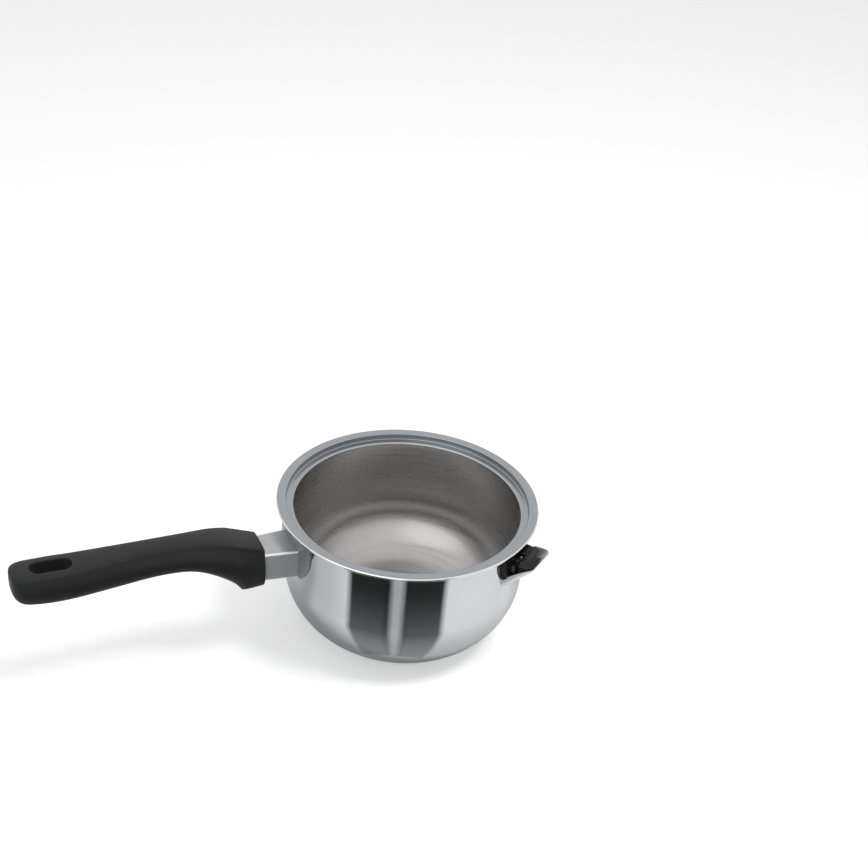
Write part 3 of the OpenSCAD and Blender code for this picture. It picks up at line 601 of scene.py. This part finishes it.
# The rim takes the satin steel, and its outermost band takes the lighter polished steel: a painted
# highlight
for face in inner_pan.data.polygons:
    centre = face.center / MM
    if centre.z > seat_z - LEDGE_ROUND / 2 and math.hypot(centre.x, centre.y) > inner_r + LEDGE_ROUND / 2:
        face.material_index = 2 if math.hypot(centre.x, centre.y) > rim_r - RIM_HIGHLIGHT_W else 1
dress(inner_pan, "pan", "brushed_steel", "inner_shell")

cap = spun("capsule_cap", cap_outline(), MIRROR)
dress(cap, "pan", "polished_steel", "base_cap")


# Moulded grip

# Rows along the grip: share of its length, and the shares of its height and width there
# (top, underside, half width of the top, half width of the flanks)
GRIP_SHARES = [
    [0.00, 0.728, 0.008, 0.70, 0.85],
    [0.09, 0.852, 0.012, 0.724, 0.96],
    [0.104, 0.868, 0.080, 0.727, 0.975],
    [0.13, 0.902, 0.188, 0.73, 1.00],
    [0.20, 0.954, 0.368, 0.67, 0.95],
    [0.27, 0.979, 0.492, 0.59, 0.87],
    [0.34, 0.993, 0.545, 0.54, 0.81],
    [0.45, 1.000, 0.549, 0.53, 0.77],
    [0.60, 0.986, 0.506, 0.62, 0.79],
    [0.75, 0.970, 0.478, 0.73, 0.88],
    [0.85, 0.977, 0.476, 0.76, 0.90],
    [0.93, 0.984, 0.506, 0.74, 0.88],
    [1.00, 0.986, 0.549, 0.73, 0.87]]
# Half outline of the top face and of the flank below it
TOP_SHARES = [(0.0, 1.0), (0.25, 0.95), (0.45, 0.8), (0.65, 0.5), (0.82, 0.1), (0.92, -0.3),
              (0.98, -0.8)]
FLANK_SHARES = [(0.05, 0.08), (0.18, 0.12), (0.35, 0.17), (0.52, 0.23), (0.7, 0.29), (0.84, 0.36),
                (0.93, 0.43)]
BELLY_SHARE = 0.44
BELLY_POWER = 0.75
END_POWER = 3.2
BELLY_STEPS = 12
GRIP_RINGS = 110
END_RINGS = 22


def slope_at(column, i):
    low, high = max(i - 1, 0), min(i + 1, len(GRIP_SHARES) - 1)
    rise = GRIP_SHARES[high][column] - GRIP_SHARES[low][column]
    return rise / (GRIP_SHARES[high][0] - GRIP_SHARES[low][0])


def curve(column, x):
    """Smooth curve through a column of the grip's shares."""
    i = 0
    while i < len(GRIP_SHARES) - 2 and GRIP_SHARES[i + 1][0] <= x:
        i += 1
    width = GRIP_SHARES[i + 1][0] - GRIP_SHARES[i][0]
    f = (x - GRIP_SHARES[i][0]) / width
    return ((2 * f ** 3 - 3 * f ** 2 + 1) * GRIP_SHARES[i][column]
            + (f ** 3 - 2 * f ** 2 + f) * width * slope_at(column, i)
            + (3 * f ** 2 - 2 * f ** 3) * GRIP_SHARES[i + 1][column]
            + (f ** 3 - f ** 2) * width * slope_at(column, i + 1))


def grip_half(top, low, top_half, full_half):
    height = top - low
    belly = height * BELLY_SHARE
    points = [(top_half * a, top + GRIP_CROWN * (b - 1)) for a, b in TOP_SHARES]
    points += [(top_half + (full_half - top_half) * a, top - GRIP_CROWN - height * b)
               for a, b in FLANK_SHARES]
    for i in range(BELLY_STEPS + 1):
        turn = math.radians(90 * i / BELLY_STEPS)
        points.append((full_half * max(math.cos(turn), 0.0) ** BELLY_POWER,
                       low + belly * (1 - math.sin(turn) ** BELLY_POWER)))
    return points


def grip_section(x, shrink):
    top = GRIP_LOW + GRIP_H * curve(1, x) - GRIP_END_DROP * (1 - shrink)
    low = GRIP_LOW + GRIP_H * curve(2, x) + GRIP_END_LIFT * (1 - shrink)
    half = grip_half(top, low, GRIP_W / 2 * curve(3, x) * shrink, GRIP_W / 2 * curve(4, x) * shrink)
    return half + [(-s, z) for s, z in half[-2:0:-1]]


def grip_skin():
    end_start = GRIP_LEN - GRIP_END_ROUND
    stations = [(end_start * i / GRIP_RINGS, 1.0) for i in range(GRIP_RINGS + 1)]
    for i in range(1, END_RINGS + 1):
        e = math.sin(math.radians(89 * i / END_RINGS))
        stations.append((end_start + GRIP_END_ROUND * e, (1 - e ** END_POWER) ** (1 / END_POWER)))
    points, faces = [], []
    for u, shrink in stations:
        points += [(-(GRIP_FRONT + u), s, z) for s, z in grip_section(u / GRIP_LEN, shrink)]
    count = len(grip_section(0, 1.0))
    for k in range(len(stations) - 1):
        for i in range(count):
            j = (i + 1) % count
            faces.append((k * count + i, k * count + j, (k + 1) * count + j, (k + 1) * count + i))
    last = (len(stations) - 1) * count
    faces.append(tuple(range(count))[::-1])
    faces.append(tuple(range(last, last + count)))
    return mesh_from("grip", points, faces)


def stadium(length, width, steps=24):
    """Outline of a slot with round ends, lying along X."""
    run = (length - width) / 2
    points = []
    for side, start in ((1, -90), (-1, 90)):
        points += [(side * run + x, y) for x, y in arc(0, 0, width / 2, start, start + 180, steps)]
    return points


def prism(name, outline, low, high):
    """A closed upright prism over an outline."""
    n = len(outline)
    points = [(x, y, low) for x, y in outline] + [(x, y, high) for x, y in outline]
    faces = [tuple(range(n))[::-1], tuple(range(n, 2 * n))]
    faces += [(i, (i + 1) % n, n + (i + 1) % n, n + i) for i in range(n)]
    return mesh_from(name, points, faces)


def cut(obj, *cutters):
    for cutter in cutters:
        finish_mesh(cutter)
        modifier = obj.modifiers.new("cut", "BOOLEAN")
        modifier.operation = "DIFFERENCE"
        modifier.solver = "EXACT"
        modifier.object = cutter
    apply_modifiers(obj)
    for cutter in cutters:
        bpy.data.objects.remove(cutter)
    return obj


grip = finish_mesh(grip_skin())
hang_x = -(GRIP_FRONT + GRIP_LEN - HANG_INSET)
hole = prism("hole", [(hang_x + x, y) for x, y in stadium(HANG_LEN, HANG_W)],
             GRIP_LOW, GRIP_TOP + OVERRUN)
screw_well = prism("well", [(-SCREW_U + x, y) for x, y in arc(0, 0, WELL_R, 0, 352.5, 47)],
                   GRIP_LOW - OVERRUN, WELL_TOP)
socket_ends = (-GRIP_FRONT - SOCKET_DEPTH, -GRIP_FRONT + OVERRUN)
socket = prism("socket", [(socket_ends[0], -SOCKET_HALF_W), (socket_ends[1], -SOCKET_HALF_W),
                          (socket_ends[1], SOCKET_HALF_W), (socket_ends[0], SOCKET_HALF_W)],
               SOCKET_LOW, SOCKET_HIGH)
cut(grip, hole, screw_well, socket)
moulded(grip, 0.5, 3)
grip.data.materials.append(GRIP_BLACK)
dress(grip, "pan", "black_grip", "handle_grip")


# Flame guard, chute and closure

guard = eased_edges("flame_guard", "flame_guard_sheet", 0.3)
for finish in (GUARD_SATIN, SADDLE_PAINTED_DARK_REFLECTION, GUARD_EDGE_PAINTED_HIGHLIGHT):
    guard.data.materials.append(finish)
# Faces of the saddle by the wall take the darker copy, a painted dark reflection
for face in guard.data.polygons:
    if math.hypot(face.center.x, face.center.y) < (WALL_R + SADDLE_REACH) * MM:
        face.material_index = 1
    # Edge faces that slant between up and sideways take the lighter copy: a painted highlight
    elif 0.25 < abs(face.normal.z) < 0.97 and abs(face.normal.y) > 0.25:
        face.material_index = 2
dress(guard, "pan", "guard_steel", "flame_guard")

chute = eased_edges("filler_chute", "chute", 0.3)
chute.data.materials.append(CHUTE_SATIN)
dress(chute, "pan", "polished_steel", "filler_chute")

housing = moulded(copy_of_node("whistle_housing", "closure_housing"), 0.22, 4)
housing.data.materials.append(CLOSURE_BLACK)
dress(housing, "pan", "black_closure", "whistle_housing")

flap = moulded(copy_of_node("whistle_flap", "closure_flap"), 0.2, 4)
flap.data.materials.append(CLOSURE_BLACK)
dress(flap, "flap", "black_closure", "whistle_flap")

# The remaining solids keep their shape and take a finish

FINISHES = {
    "base_core": CORE_ALLOY,
    "handle_bracket": PLAIN_STEEL,
    "handle_screw": PLAIN_STEEL,
    "lock_washer": PLAIN_STEEL,
    "hinge_pin": PLAIN_STEEL,
    "housing_gasket": SILICONE,
    "flap_seal": SILICONE,
    "whistle_rear_disc": PLAIN_STEEL,
    "whistle_front_disc": PLAIN_STEEL,
}
for node, finish in FINISHES.items():
    obj = frame["nodes"][node]
    for part in [obj] + list(obj.children_recursive):
        if part.type == "MESH":
            part.data.materials.clear()
            part.data.materials.append(finish)


# Camera

def make_camera():
    turn = math.radians(VIEW_AZIMUTH)
    rise = math.radians(VIEW_ELEVATION)
    roll = math.radians(VIEW_ROLL)
    target = Vector((0, 0, PAN_H)) * MM
    back = Vector((math.sin(turn) * math.cos(rise), -math.cos(turn) * math.cos(rise), math.sin(rise)))
    right = Vector((math.cos(turn), math.sin(turn), 0))
    up = back.cross(right)
    right_rolled = right * math.cos(roll) + up * math.sin(roll)
    up_rolled = up * math.cos(roll) - right * math.sin(roll)
    data = bpy.data.cameras.new("camera")
    camera = bpy.data.objects.new("camera", data)
    axes = Matrix((right_rolled, up_rolled, back)).transposed().to_4x4()
    camera.matrix_world = Matrix.Translation(target + back * VIEW_DISTANCE) @ axes
    data.lens = VIEW_LENS
    data.sensor_width = 36.0
    data.shift_x, data.shift_y = VIEW_SHIFT
    data.clip_start, data.clip_end = 0.05, 20.0
    bpy.context.scene.collection.objects.link(camera)
    bpy.context.scene.camera = camera


# Floor, studio cards, lamps and background

def world_light(ambient):
    """White behind the object and in its reflections, softer light on it."""
    world = bpy.data.worlds.new("studio")
    bpy.context.scene.world = world
    world.use_nodes = True
    tree = world.node_tree
    tree.nodes.clear()
    out = tree.nodes.new("ShaderNodeOutputWorld")
    path = tree.nodes.new("ShaderNodeLightPath")
    seen = math_node(tree, "ADD", math_node(tree, "ADD", path.outputs["Is Camera Ray"],
                     path.outputs["Is Glossy Ray"]), path.outputs["Is Transmission Ray"], clamp=True)
    white = tree.nodes.new("ShaderNodeBackground")
    soft = tree.nodes.new("ShaderNodeBackground")
    white.inputs["Strength"].default_value = 1.0
    white.inputs["Color"].default_value = (1, 1, 1, 1)
    soft.inputs["Strength"].default_value = ambient
    soft.inputs["Color"].default_value = (1, 1, 1, 1)
    mix = tree.nodes.new("ShaderNodeMixShader")
    wire(tree, seen, mix.inputs[0])
    wire(tree, soft.outputs[0], mix.inputs[1])
    wire(tree, white.outputs[0], mix.inputs[2])
    wire(tree, mix.outputs[0], out.inputs["Surface"])


def make_floor(paleness, lift, mirrored_lift):
    """A pale floor that keeps the object's shadow and reads white to the camera."""
    material, tree, shader = new_material("pale floor", Roughness=0.9, Specular_IOR_Level=0.0)
    shader.inputs["Base Color"].default_value = (paleness, paleness, paleness, 1)
    path = tree.nodes.new("ShaderNodeLightPath")
    mirrored = math_node(tree, "ADD", path.outputs["Is Glossy Ray"],
                         path.outputs["Is Transmission Ray"], clamp=True)
    glow = tree.nodes.new("ShaderNodeEmission")
    glow.inputs["Color"].default_value = (1, 1, 1, 1)
    strength = math_node(tree, "ADD", math_node(tree, "MULTIPLY", path.outputs["Is Camera Ray"], lift),
                         math_node(tree, "MULTIPLY", mirrored, mirrored_lift))
    wire(tree, strength, glow.inputs["Strength"])
    both = tree.nodes.new("ShaderNodeAddShader")
    wire(tree, shader.outputs[0], both.inputs[0])
    wire(tree, glow.outputs[0], both.inputs[1])
    wire(tree, both.outputs[0], tree.nodes["Material Output"].inputs["Surface"])
    reach = 4000
    floor = mesh_from("floor", [(-reach, -reach, 0), (reach, -reach, 0), (reach, reach, 0),
                                (-reach, reach, 0)], [(0, 1, 2, 3)])
    floor.data.materials.append(material)
    return floor


def area_lamp(name, place, aim, size, power):
    data = bpy.data.lights.new(name, "AREA")
    data.shape = "DISK"
    data.size = size
    data.energy = power
    lamp = bpy.data.objects.new(name, data)
    lamp.location = place
    lamp.rotation_euler = (Vector(aim) - Vector(place)).to_track_quat("-Z", "Y").to_euler()
    bpy.context.scene.collection.objects.link(lamp)
    return lamp


def card_tree(name):
    """A new material for a card, with its place and its distance from the pan's axis."""
    material = bpy.data.materials.new(name)
    material.use_nodes = True
    tree = material.node_tree
    tree.nodes.clear()
    place = tree.nodes.new("ShaderNodeTexCoord").outputs["Object"]
    reach = tree.nodes.new("ShaderNodeVectorMath")
    reach.operation = "LENGTH"
    wire(tree, place, reach.inputs[0])
    return material, tree, place, reach.outputs["Value"]


def finish_card(card, material, mask, tone):
    """Mixes a flat tone over nothing by the mask; only mirrored rays see the card."""
    tree = material.node_tree
    dark = tree.nodes.new("ShaderNodeEmission")
    dark.inputs["Color"].default_value = (*tone, 1)
    clear = tree.nodes.new("ShaderNodeBsdfTransparent")
    mix = tree.nodes.new("ShaderNodeMixShader")
    wire(tree, mask, mix.inputs[0])
    wire(tree, clear.outputs[0], mix.inputs[1])
    wire(tree, dark.outputs[0], mix.inputs[2])
    target = tree.nodes.new("ShaderNodeOutputMaterial")
    wire(tree, mix.outputs[0], target.inputs["Surface"])
    card.data.materials.append(material)
    card.visible_camera = card.visible_diffuse = card.visible_shadow = False
    card.visible_transmission = False


def reflection_card(name, lift, start, end, soft, strength):
    """A card on the floor that only the polished steel sees: a dark band up the wall.

    Its angles are counted from the camera's side, about the point that the wall seems to
    gather its reflections in, and it fades out towards the foot of the pan.
    """
    turn = math.radians(VIEW_AZIMUTH)
    right = Vector((math.cos(turn), math.sin(turn), 0))
    away = Vector((-math.sin(turn), math.cos(turn), 0))
    focus = away * -CARD_FOCUS
    first, last = math.radians(start - soft), math.radians(end + soft)
    steps = max(2, round((last - first) / math.radians(3)))
    points = []
    for i in range(steps + 1):
        angle = first + (last - first) * i / steps
        beam = right * math.sin(angle) - away * math.cos(angle)
        points += [focus + beam * CARD_INNER, focus + beam * CARD_OUTER]
    for point in points:
        point.z = lift
    faces = [(2 * i, 2 * i + 1, 2 * i + 3, 2 * i + 2) for i in range(steps)]
    card = mesh_from(name, points, faces)

    material, tree, place, reach = card_tree(name)
    centred = tree.nodes.new("ShaderNodeMapping")
    centred.vector_type = "TEXTURE"
    centred.inputs["Location"].default_value = focus * MM
    centred.inputs["Rotation"].default_value = (0, 0, turn - math.radians(90))
    wire(tree, place, centred.inputs["Vector"])
    axes = tree.nodes.new("ShaderNodeSeparateXYZ")
    wire(tree, centred.outputs["Vector"], axes.inputs[0])
    bearing = math_node(tree, "ARCTAN2", axes.outputs["Y"], axes.outputs["X"])
    middle, half = math.radians((start + end) / 2), math.radians((end - start) / 2)
    off = math_node(tree, "ABSOLUTE", math_node(tree, "SUBTRACT", bearing, middle))
    across = range_node(tree, off, half + math.radians(soft), half - math.radians(soft))
    near = range_node(tree, reach, CARD_FADE[1] * MM, CARD_FADE[0] * MM)
    out = math_node(tree, "SUBTRACT", 1.0, math_node(tree, "MULTIPLY", near, near))
    mask = math_node(tree, "MULTIPLY", math_node(tree, "MULTIPLY", across, out), strength)
    finish_card(card, material, mask, CARD_TONE)


def contact_shade(strength):
    """The dim floor right round the foot of the pan, as the polished steel sees it."""
    ring = [(SHADE_SPAN * math.cos(a), SHADE_SPAN * math.sin(a), 2 * CARD_LIFT)
            for a in (math.tau * i / 96 for i in range(96))]
    disc = mesh_from("contact shade", ring, [tuple(range(96))])
    material, tree, place, reach = card_tree("contact shade")
    near = range_node(tree, reach, SHADE_REACH[1] * MM, SHADE_REACH[0] * MM)
    finish_card(disc, material, math_node(tree, "MULTIPLY", near, strength), SHADE_TONE)


# Start and end of each card in degrees, softness of its edges, and strength
REFLECTION_CARDS = {
    "grey card": (-13.0, 6.0, 4.0, 0.45),
    "dark card left": (-49.0, -8.0, 3.0, 0.97),
    "dark card right": (3.5, 43.0, 3.0, 0.97),
    "pale card left": (-118.0, -58.0, 10.0, 0.2),
    "side card": (116.0, 140.0, 8.0, 0.3),
    "back card": (-176.0, -150.0, 5.0, 0.85),
}

make_camera()
world_light(0.5)
for count, (name, (start, end, soft, strength)) in enumerate(REFLECTION_CARDS.items()):
    reflection_card(name, CARD_LIFT + CARD_STEP * count, start, end, soft, strength)
contact_shade(0.4)
make_floor(0.8, 0.36, 0.1)
overhead = area_lamp("overhead softbox", (0.1, 0.1, 1.4), (-0.02, 0, 0.05), 1.2, 2.5)
overhead.visible_glossy = False
key = area_lamp("key softbox", (0.35, -0.45, 1.3), (-0.05, 0, 0.05), 0.4, 9.0)
key.visible_glossy = False
area_lamp("side softbox", (-0.9, -0.5, 0.9), (0, 0, 0.06), 1.5, 3.0)
bpy.context.scene.view_settings.view_transform = "Standard"
